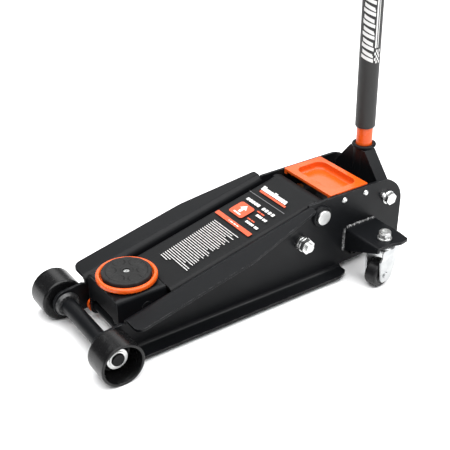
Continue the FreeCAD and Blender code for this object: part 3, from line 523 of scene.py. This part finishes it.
casting = painted_casting()
wheel_enamel = wheel_steel()
rubber = moulded("black_rubber", colour(0.011, 0.011, 0.011), colour(0.026, 0.026, 0.0255),
                 0.60, 800, 0.05 * MM)
grip_rubber = moulded("grip_rubber", colour(0.012, 0.012, 0.013), colour(0.03, 0.03, 0.03),
                      0.58, 1100, 0.03 * MM)
nylon = moulded("black_nylon", colour(0.006, 0.006, 0.0065), colour(0.022, 0.022, 0.023),
                0.34, 420, 0.02 * MM, 1.2 * MM)
foam_skin = foam()
weld_coat = weld_skin()
white_ink = ink("white_ink", colour(0.60, 0.60, 0.59), colour(0.20, 0.20, 0.20))
grey_ink = ink("grey_ink", colour(0.16, 0.16, 0.165), colour(0.08, 0.08, 0.08))
orange_ink = ink("orange_ink", colour(0.56, 0.070, 0.020), colour(0.22, 0.035, 0.015))
print("other finishes ready")


# %% [markdown]
# ## Finishes on the CAD pieces
#
# Every CAD node that stays in view takes one of these finishes in its first material slot.

# %% Give each CAD node its finish
finish_of = {
    black_coat: """side_plate_left side_plate_right front_axle cross_spacer caster_bracket_left
        caster_bracket_right pivot_bosses handle_socket cylinder_tube reservoir_tube
        reservoir_cap saddle_block rod_pin arm_pin unit_bolts""",
    black_arm: "lift_arm lever_plates",
    orange_coat: "tie_rod_left tie_rod_right tool_tray lower_tube upper_tube saddle_cup",
    zinc: """axle_washers pivot_shaft anchor_bolts anchor_nuts tray_screws caster_stems
        caster_nuts yoke_bolts yoke_washers frame_pins joint_button socket_screw
        saddle_screw""",
    zinc_dull: "caster_fork_left caster_fork_right caster_races",
    ground_steel: "roller_pin lift_roller gland_nut pump_roller release_stem release_cup",
    chrome_rod: "ram pump_plunger",
    spring_wire: "return_springs pump_spring",
    brass: "unit_plugs",
    casting: "power_block",
    wheel_enamel: "front_wheel_left front_wheel_right",
    nylon: "caster_wheel_left caster_wheel_right",
    rubber: "saddle_pad",
    grip_rubber: "handle_grip",
    foam_skin: "foam_sleeve",
    weld_coat: "weld_beads",
}
for finish, names in finish_of.items():
    for name in names.split():
        slots = nodes[name].data.materials
        slots.clear()
        slots.append(finish)
plain = set(nodes) - set(" ".join(finish_of.values()).split())
print("nodes with no finish:", sorted(plain))


# %% [markdown]
# ## Studio: floor, light and camera
#
# Black metal shows the room more than itself, so the room is dim and most of the light comes from
# one wide soft panel overhead. Weaker panels at the sides draw a line of light along the bends. The
# floor is plain and pale.

# %% Floor and room
FLOOR_HALF = 6.0


def make_floor():
    size = FLOOR_HALF
    mesh = bpy.data.meshes.new("floor")
    corners = [(-size, -size, 0), (size, -size, 0), (size, size, 0), (-size, size, 0)]
    mesh.from_pydata(corners, [], [(0, 1, 2, 3)])
    f = Finish("pale_floor")
    haze = f.noise(1.5, 2)
    tint = f.blend(haze, colour(0.86, 0.86, 0.86), colour(0.84, 0.84, 0.845))
    mesh.materials.append(f.close(Base_Color=tint, Roughness=haze * 0.1 + 0.75,
                                  Specular_IOR_Level=0.2))
    floor = bpy.data.objects.new("floor", mesh)
    bpy.context.scene.collection.objects.link(floor)


def soft_panel(name, place, target, width, height, power, tint=(1, 1, 1)):
    """A flat area light that faces a target."""
    light = bpy.data.lights.new(name, "AREA")
    light.shape = "RECTANGLE"
    light.size, light.size_y = width, height
    light.energy = power
    light.color = tint
    lamp = bpy.data.objects.new(name, light)
    lamp.location = place
    lamp.rotation_euler = (Vector(target) - Vector(place)).to_track_quat("-Z", "Y").to_euler()
    bpy.context.scene.collection.objects.link(lamp)


def make_room(strength):
    world = bpy.data.worlds.new("room")
    world.use_nodes = True
    background = world.node_tree.nodes["Background"]
    background.inputs["Color"].default_value = colour(0.97, 0.985, 1.0)
    background.inputs["Strength"].default_value = strength
    bpy.context.scene.world = world


make_floor()
make_room(0.20)
soft_panel("overhead", (-0.3, -0.5, 3.0), (-0.1, -0.3, 0), 5.0, 4.4, 330)
soft_panel("near_side", (0.9, -2.6, 1.1), (0.1, 0.0, 0.1), 1.6, 0.9, 10)
soft_panel("far_side", (1.1, 2.3, 1.7), (0.0, 0.0, 0.1), 2.2, 0.9, 14)
soft_panel("edge_strip", (1.7, -1.6, 2.3), (0.0, 0.0, 0.1), 1.2, 0.5, 40)
bpy.context.scene.view_settings.view_transform = "Standard"
print("studio lit")


# %% [markdown]
# ## Camera
#
# The jack is seen from its saddle end, about thirty degrees above it. The lens is long enough to
# keep the near wheel from looking much larger than the far one.

# %% Camera
LENS, SENSOR = 70.18, 36.0
CAMERA_AZIMUTH, CAMERA_TILT = 34.34, 30.37
eye = bpy.data.cameras.new("camera")
eye.lens, eye.sensor_width = LENS, SENSOR
camera = bpy.data.objects.new("camera", eye)
camera.location = (-0.75555, -1.0788, 0.8985)
camera.rotation_euler = (math.radians(90 - CAMERA_TILT), 0, -math.radians(CAMERA_AZIMUTH))
bpy.context.scene.collection.objects.link(camera)
bpy.context.scene.camera = camera
print("camera at", tuple(round(v, 3) for v in camera.location))


# %% [markdown]
# ## Print on the arm
#
# The arm's cover carries a screen-printed panel: fine lines, a bar, a square sign and headings. The
# wording is left out, so short dashes stand for lines of text. A thin raised slab is used for each
# patch of ink because it stays crisp from close by, which a texture of this size would not.

# %% Patches of ink on the arm's slope
ARM_RISE = 0.2343                    # rise of the cover for each unit of length
arm_points = np.empty(len(nodes["lift_arm"].data.vertices) * 3)
nodes["lift_arm"].data.vertices.foreach_get("co", arm_points)
arm_points = arm_points.reshape(-1, 3)
cover_height = (arm_points[:, 2] - ARM_RISE * arm_points[:, 0]).max()
axle_x = middle("front_axle")[0]
INK_LOW, INK_HIGH = -0.04 * MM, 0.09 * MM
OVERPRINT_HIGH = 1.7 * INK_HIGH      # top of ink that lies on other ink


def rounded_rectangle(width, height, radius, steps=5):
    """Corner k's centre plus radius times the direction of each angle in its quarter turn."""
    quarter = np.linspace(0, math.pi / 2, steps)
    angle = (quarter[None, :] + np.arange(4)[:, None] * math.pi / 2).ravel()
    across = np.repeat([1, -1, -1, 1], steps) * (width / 2 - radius)
    up = np.repeat([1, 1, -1, -1], steps) * (height / 2 - radius)
    return np.stack([across + radius * np.cos(angle), up + radius * np.sin(angle)], axis=1)


def on_cover(outline, lift):
    """Lays a flat outline, in metres from the axle and the middle, on the sloping cover."""
    x = outline[:, 0] + axle_x
    return np.stack([x, outline[:, 1], cover_height + ARM_RISE * x + lift], axis=1)


def cover_patch(outline, top=INK_HIGH):
    """A thin slab of ink: the outline just under the cover's face, and again at the ink's top."""
    return skin(np.stack([on_cover(outline, INK_LOW), on_cover(outline, top)]))


def cover_bar(x0, x1, y0, y1, radius, top=INK_HIGH):
    """A bar of ink between two distances from the axle and two from the middle, in mm."""
    shape = rounded_rectangle((x1 - x0) * MM, abs(y1 - y0) * MM, radius * MM)
    return cover_patch(shape + np.array([(x0 + x1) / 2, (y0 + y1) / 2]) * MM, top)


def slanted_bar(x0, x1, y0, y1, slant):
    """A four-cornered bar whose rear edge is shifted across by the slant."""
    corners = [(x0, y0), (x0, y1), (x1, y1 + slant), (x1, y0 + slant)]
    return cover_patch(np.array(corners, float) * MM)


print("cover height at the frame's middle", round(cover_height, 4))

# %% [markdown]
# ## Small print
#
# A printed panel often has a block of fine lines. Each line is drawn as dashes of uneven length
# with small gaps, because a single long bar would look like a ruled line.

# %% Lines of small print
LINES, LINE_FIRST, LINE_LAST = 27, 161.0, 275.5
LINE_HALF = 0.62
LINE_ENDS = np.interp(np.arange(LINES), [0, 1, 2, 5, 9, 14, 18, 26],
                      [6, 2, -44, -40, -38, -42, -36, -39])
random = np.random.default_rng(7)


def print_lines():
    """Each line starts at the same side and ends raggedly, broken into dashes like words."""
    bars = []
    for i, x in enumerate(np.linspace(LINE_FIRST, LINE_LAST, LINES)):
        y = 26.5 + 7 * i / (LINES - 1)
        end = LINE_ENDS[i] + random.choice([0, 5, 11, 17], p=[0.5, 0.25, 0.15, 0.1]) * (i > 3)
        while y > end + 2:
            length = min(random.uniform(9, 26), y - end)
            bars.append(cover_bar(x - LINE_HALF, x + LINE_HALF, y - length, y, 0.3))
            y -= length + 0.8
    return bars


make_piece("arm_print_lines", print_lines(), white_ink, "lift_arm")

# %% [markdown]
# ## Sign, bar and headings
#
# The larger print is flat shapes in three inks. The white arrow and the dashes on the orange bar
# lie on top of orange ink, so they are a little thicker and show above it.

# %% Sign, bar and headings
SIGN = (308.5, 340.5, 0.5, 39.5)      # front, rear, near and far edge of the square sign


def lift_sign():
    """An arrow that points up from a base line, read from the saddle's end."""
    x0, x1, y0, y1 = SIGN
    mid = (y0 + y1) / 2
    arrow = np.array([(x0 + 19, mid - 9), (x0 + 19, mid + 9), (x0 + 29, mid)], float) * MM
    return [cover_patch(arrow, OVERPRINT_HIGH),
            cover_bar(x0 + 10, x0 + 19.5, mid - 3.4, mid + 3.4, 0.4, OVERPRINT_HIGH),
            cover_bar(x0 + 4.5, x0 + 7.5, mid - 10, mid + 10, 0.8, OVERPRINT_HIGH)]


orange_marks = [cover_bar(288.5, 297.2, -50, 52, 1.2), cover_bar(*SIGN, 5)]
orange_marks += [cover_bar(x, x + 2.6, y, y + w, 0.5) for x in (339.2, 316.8)
                 for y, w in ((-14 if x > 330 else -16, 9), (-25 if x > 330 else -27, 9.5))]
orange_marks += [slanted_bar(377, 381.5, -35, 39, 1.5)]
make_piece("arm_print_orange", orange_marks, orange_ink, "lift_arm")

heading = [cover_bar(347.8, 354.2, y, y + 6.4, 0.9) for y in (33.5, 25.5, 18, 10.2, 2.8)]
heading += [cover_bar(347.8, 354.2, y, y + 6.4, 0.9) for y in (-12.5, -21, -30, -39)]
values = [cover_bar(330.6, 335.8, y, y + 4.6, 0.6) for y in (-17, -22.6, -28, -35.5, -41)]
values += [cover_bar(308.6, 313.6, y, y + 4.6, 0.6) for y in (-16.5, -22, -27.5, -33, -41, -46)]
widths = (9, 7, 5.5, 7.5, 8.5, 7, 7.5, 6, 6)
starts = 42.5 - np.cumsum((0,) + widths[:-1]) - np.arange(len(widths)) * 0.9
badge = [slanted_bar(382.8, 393.5 - 2.5 * (k not in (0, 4)), start - width, start, 2.4)
         for k, (start, width) in enumerate(zip(starts, widths))]
marks = lift_sign() + [cover_bar(291.8, 293.8, y, y + w, 0.3, OVERPRINT_HIGH) for y, w in
                       ((12, 2), (2, 7), (-7, 6), (-15, 6))]
make_piece("arm_print_white", heading + values + badge + marks, white_ink, "lift_arm")
make_piece("arm_print_rule", [cover_bar(366.2, 367.1, -48, 54.5, 0.3)], grey_ink, "lift_arm")


# %% [markdown]
# ## Print on the handle's foam
#
# The sleeve has a broad printed band. Each patch is a strip bent round the sleeve: it goes out
# along the outer arc and back along an inner one, and it is carried up the handle with a slant.

# %% Bars round the sleeve
sleeve_points = np.array([tuple(v.co) for v in nodes["foam_sleeve"].data.vertices]) - handle_foot
SLEEVE_R = np.linalg.norm(np.cross(sleeve_points, handle_way), axis=1).max()
FACING = math.radians(-134)          # side of the sleeve that faces the saddle's near corner


def handle_around(along, radius, angle):
    """Points about the handle's axis, with the angle measured from +X round +Z."""
    forward = np.array([1.0, 0, 0]) - handle_way * handle_way[0]
    forward /= np.linalg.norm(forward)
    sideways = np.cross(handle_way, forward)
    along, radius, angle = np.broadcast_arrays(along, radius, angle)
    return (handle_foot + handle_way * along[..., None]
            + forward * (radius * np.cos(angle))[..., None]
            + sideways * (radius * np.sin(angle))[..., None])


def sleeve_bar(low, high, left_deg, right_deg, tilt=0.0, columns=9, rows=12):
    """A strip between two heights in mm and two angles; the tilt lowers its right-hand edge."""
    share = np.linspace(0, 1, rows)[:, None]
    across = np.linspace(0, 1, columns)
    across = np.concatenate([across, across[::-1]])[None, :]
    lift = np.concatenate([np.full(columns, 0.10), np.full(columns, -0.10)])[None, :] * MM
    radius = SLEEVE_R + lift
    angle = FACING + np.radians(left_deg + across * (right_deg - left_deg)) + 0 * share
    along = (low + (high - low) * share + tilt * (0.5 - across)) * MM
    return skin(handle_around(along, radius, angle))


PRINT_LOW, PRINT_HIGH = 250, 455
letters = []
for k in range(10):
    low = PRINT_LOW + 20.5 * k
    letters += [sleeve_bar(low, low + 6.2, -50, 20, 9), sleeve_bar(low + 9, low + 15.5, -44, 14, 9)]
    letters += [sleeve_bar(low + 5.6, low + 9.6, *((-50, -30) if k % 2 else (0, 18)), 4)]
stripe = [sleeve_bar(PRINT_LOW + 22, PRINT_HIGH, 27, 36),
          sleeve_bar(PRINT_LOW + 22, PRINT_HIGH, 42, 47)]
checks = [sleeve_bar(PRINT_LOW - 6 + 5 * k, PRINT_LOW - 1.2 + 5 * k, 26 + 9 * c, 35 + 9 * c)
          for k in range(5) for c in range(4) if (k + c) % 2]
make_piece("sleeve_print", stripe + letters + checks, white_ink, "handle")


# %% [markdown]
# ## Rubber saddle pad
#
# The pad is a disc with a ring groove, six petal grooves that meet round the screw, and a rim cut
# to twelve soft flats. The top is a height over radius and angle, so the grooves are one formula.

# %% The pad's top, side and underside as one ring of rows
pad_low, pad_high = ends("saddle_pad")
pad_axis = np.array([*middle("saddle_pad")[:2], 0.0])
PAD_R, PAD_HOLE = (pad_high[0] - pad_low[0]) / 2, 6.0 * MM
PAD_TOP, PAD_BASE = pad_high[2], pad_low[2]
PETAL_AT, PETAL_R = 27.5 * MM, 10.5 * MM


def dip(distance, half_width):
    """1 in the middle of a groove, falling smoothly to 0 at its edges."""
    return np.clip(1 - (distance / half_width) ** 2, 0, 1) ** 2


def pad_height(radius, angle):
    """Top height, minus a dip for each groove and petal arc, plus a stud in each petal."""
    sector = (angle + math.pi / 6) % (math.pi / 3) - math.pi / 6
    dx, dy = radius * np.cos(sector) - PETAL_AT, radius * np.sin(sector)
    from_petal = np.hypot(dx, dy)
    rim_groove = dip(radius - 0.83 * PAD_R, 1.1 * MM) * 1.0 * MM
    petal = dip(from_petal - PETAL_R, 1.3 * MM) * 1.2 * MM * (dx < 3.5 * MM)
    stud = dip(from_petal, 2.2 * MM) * 0.9 * MM
    inner = dip(radius - 10.5 * MM, 1.2 * MM) * 0.8 * MM
    return PAD_TOP - 0.9 * MM - rim_groove - petal - inner + stud


def pad_points(columns=288):
    angle = turn(columns)
    flats = 1 - 0.022 * (1 - np.abs(np.cos(6 * angle)))
    inner = np.linspace(PAD_HOLE, PAD_R - 1.4 * MM, 84)[:, None]
    top_r = inner * np.where(inner > 0.9 * PAD_R, flats, 1.0)
    top_z = pad_height(inner, angle)
    round_r = (PAD_R - np.array([0.7, 0.3, 0.1])[:, None] * MM) * flats
    round_z = PAD_TOP - np.array([1.3, 1.9, 3.0])[:, None] * MM + 0 * angle
    low_r = np.array([PAD_R - 0.1 * MM, PAD_R - 0.8 * MM, PAD_HOLE])[:, None]
    low_r = low_r * np.where([[1], [1], [0]], flats, 1.0)
    low_z = np.array([PAD_BASE + 1.0 * MM, PAD_BASE, PAD_BASE])[:, None] + 0 * angle
    radius = np.concatenate([top_r * np.ones_like(angle), round_r, low_r])
    height = np.concatenate([top_z, round_z, low_z])
    return around(pad_axis, (0, 0, 1), height, radius, angle)


make_piece("pad_moulding", [skin(pad_points(), ring=True)], rubber, "saddle",
           hides=("saddle_pad",), sharp=60)


# %% [markdown]
# ## Springs
#
# A coil is a rod along a helix. The return springs hook on the lever's pin and on a stud in the
# frame, and ride on no body. The pump's spring is squeezed against the block.

# %% Coils
def helix(start, finish, radius, turns, steps=24):
    """Point = start + way * share + side * r * cos(turns) + up * r * sin(turns)."""
    start, finish = np.asarray(start, float), np.asarray(finish, float)
    _, side, up = square_to(finish - start)
    share = np.linspace(0, 1, int(turns * steps) + 1)[:, None]
    angle = 2 * math.pi * turns * share
    return start + (finish - start) * share + radius * (np.cos(angle) * side + np.sin(angle) * up)


def hook(centre, radius, from_deg, to_deg, steps=22):
    """An arc in the upright plane along X, for the eye at a spring's end."""
    angle = np.radians(np.linspace(from_deg, to_deg, steps))
    return np.asarray(centre) + radius * np.stack(
        [np.cos(angle), np.zeros_like(angle), np.sin(angle)], axis=1)


SPRING_R, WIRE_R = 4.2 * MM, 0.8 * MM
SPRING_Y, SPRING_TURNS = 60.5 * MM, 34
FRONT_EYE_R, REAR_EYE_R = 8.9 * MM, 4.9 * MM
spring_box = ends("return_springs")
roller_pin_at = middle("roller_pin")
stud_x = spring_box[1][0] + 6 * MM


def return_spring(side):
    y = side * SPRING_Y
    front = np.array([roller_pin_at[0], y, roller_pin_at[2]])
    rear = np.array([stud_x, y, roller_pin_at[2]])
    coil_start, coil_end = front + [16 * MM, 0, 0], rear - [12 * MM, 0, 0]
    eye_front = hook(front, FRONT_EYE_R, 200, 0)
    eye_rear = hook(rear, REAR_EYE_R, 180, -60)
    coil = helix(coil_start, coil_end, SPRING_R, SPRING_TURNS)
    path = np.concatenate([eye_front, coil, eye_rear])
    return skin(along_path(smoothed(path), WIRE_R, (0.02, 1.0, 0.03), 8))


def smoothed(path, passes=3):
    """Averages each inner point with its neighbours, to round the joins."""
    for _ in range(passes):
        path = np.concatenate([path[:1], (path[:-2] + 2 * path[1:-1] + path[2:]) / 4, path[-1:]])
    return path


springs = make_piece("return_spring_coils", [return_spring(-1), return_spring(1)], spring_wire,
                     None, hides=("return_springs",), sharp=80)
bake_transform(springs)

# %% [markdown]
# ## The pump's spring
#
# This coil sits on the plunger between the block and the plunger's head. The share of its length
# that it would keep at the plunger's full stroke is worked out from the joint, and only printed.

# %% The pump's spring
pump_low, pump_high = ends("pump_spring")
pump_mid = (pump_low + pump_high) / 2
PUMP_COIL_R, PUMP_WIRE_R, PUMP_TURNS = 8.9 * MM, 1.3 * MM, 6.5
coil_ends = [np.array([x, pump_mid[1], pump_mid[2]]) for x in
             (pump_low[0] + PUMP_WIRE_R, pump_high[0] - PUMP_WIRE_R)]
pump_coil = make_piece(
    "pump_spring_coil",
    [skin(along_path(helix(*coil_ends, PUMP_COIL_R, PUMP_TURNS), PUMP_WIRE_R,
                     (1.0, 0.01, 0.02), 10))],
    spring_wire, "frame", hides=("pump_spring",), sharp=80)
stroke = max(joints["plunger_slide"]["range_m"])
keep = 1 - stroke / (pump_high[0] - pump_low[0])
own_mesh(pump_coil)
print("the pump spring keeps", round(keep, 2), "of its length")

# %% [markdown]
# ## Threads on the stud ends
#
# A rolled thread is a ridge that climbs one pitch for each turn. The radius of each point falls and
# rises with its height less its share of a turn, which makes a true helix rather than rings, and
# the ends taper to the core so that the skin closes.

# %% Thread sleeves on the tie-rod bolts and the caster stems
def thread_skin(start, axis, length, radius, pitch, columns=36):
    """Radius = crest - depth * triangle wave(height / pitch - angle / full turn)."""
    height = np.linspace(0, length, int(length / pitch * 10))[:, None]
    angle = turn(columns)
    wave = np.abs(((height / pitch - angle / (2 * math.pi)) % 1.0) * 2 - 1)
    fade = np.clip(np.minimum(height, length - height) / (0.6 * pitch), 0, 1)
    depth = 0.55 * pitch
    reach = radius + 0.05 * MM + depth * (wave - 1) * fade - 0.35 * depth * (1 - fade)
    return skin(around(start, axis, height, np.maximum(reach, radius - depth), angle))


BOLT_R, BOLT_PITCH = 8.05 * MM, 1.6 * MM
STEM_R, STEM_PITCH = 6.05 * MM, 1.4 * MM


def stud_threads():
    bolt_end, nut_end = ends("anchor_bolts")[1][1], ends("anchor_nuts")[1][1]
    bolt = pivot("rod_left_swing")
    skins = []
    for side in SIDES.values():
        start = np.array([bolt[0], side * (nut_end - 0.3 * MM), bolt[2]])
        length = bolt_end - nut_end + 0.25 * MM
        skins.append(thread_skin(start, (0, side, 0), length, BOLT_R, BOLT_PITCH))
        stem = pivot("caster_left_swivel" if side < 0 else "caster_right_swivel")
        stem_top, nut_top = ends("caster_stems")[1][2], ends("caster_nuts")[1][2]
        if stem_top > nut_top + 1 * MM:
            start = np.array([stem[0], stem[1], nut_top - 0.3 * MM])
            skins.append(thread_skin(start, (0, 0, 1), stem_top - nut_top + 0.25 * MM,
                                     STEM_R, STEM_PITCH))
    return skins


make_piece("stud_threads", stud_threads(), zinc, "frame")

# %% [markdown]
# ## Ribbed grip
#
# The rubber grip at the handle's top is moulded with rows of finger ribs. Its radius is the plain
# tube less a shallow valley between ribs, and each rib is broken by six flutes along the handle.

# %% Grip as a radius over height and angle
grip_points = np.array([tuple(v.co) for v in nodes["handle_grip"].data.vertices]) - handle_foot
grip_along = grip_points @ handle_way
GRIP_R = np.linalg.norm(np.cross(grip_points, handle_way), axis=1).max()
GRIP_LOW, GRIP_HIGH = grip_along.min(), grip_along.max()


def grip_skin(columns=96, rows=420):
    """Radius = grip - valley(height) - flute(angle), closed by a domed cap and flat end faces."""
    length = GRIP_HIGH - GRIP_LOW
    share = np.linspace(0, 1, rows)[:, None]
    height = GRIP_LOW + share * (length - 2.5 * MM)
    ribs = 0.5 - 0.5 * np.cos(2 * math.pi * (height - GRIP_LOW) / (7 * MM))
    ribbed = np.clip((share - 0.06) / 0.02, 0, 1) * np.clip((0.93 - share) / 0.02, 0, 1)
    flute = np.clip(np.cos(3 * turn(columns)) ** 2 * 6 - 5.1, 0, 1)
    radius = GRIP_R - 0.9 * MM * ribs ** 2 * ribbed - 0.5 * MM * flute * ribbed
    cap_turn = np.linspace(0.1, 1.4, 8)[:, None]
    cap_r = GRIP_R - 2.5 * MM * (1 - np.cos(cap_turn)) + 0 * turn(columns)
    cap_z = GRIP_HIGH - 2.5 * MM * (1 - np.sin(cap_turn)) + 0 * turn(columns)
    return skin(handle_around(np.concatenate([height + 0 * turn(columns), cap_z]),
                              np.concatenate([radius, cap_r]), turn(columns)))


make_piece("grip_moulding", [grip_skin()], grip_rubber, "handle",
           hides=("handle_grip",), sharp=50)
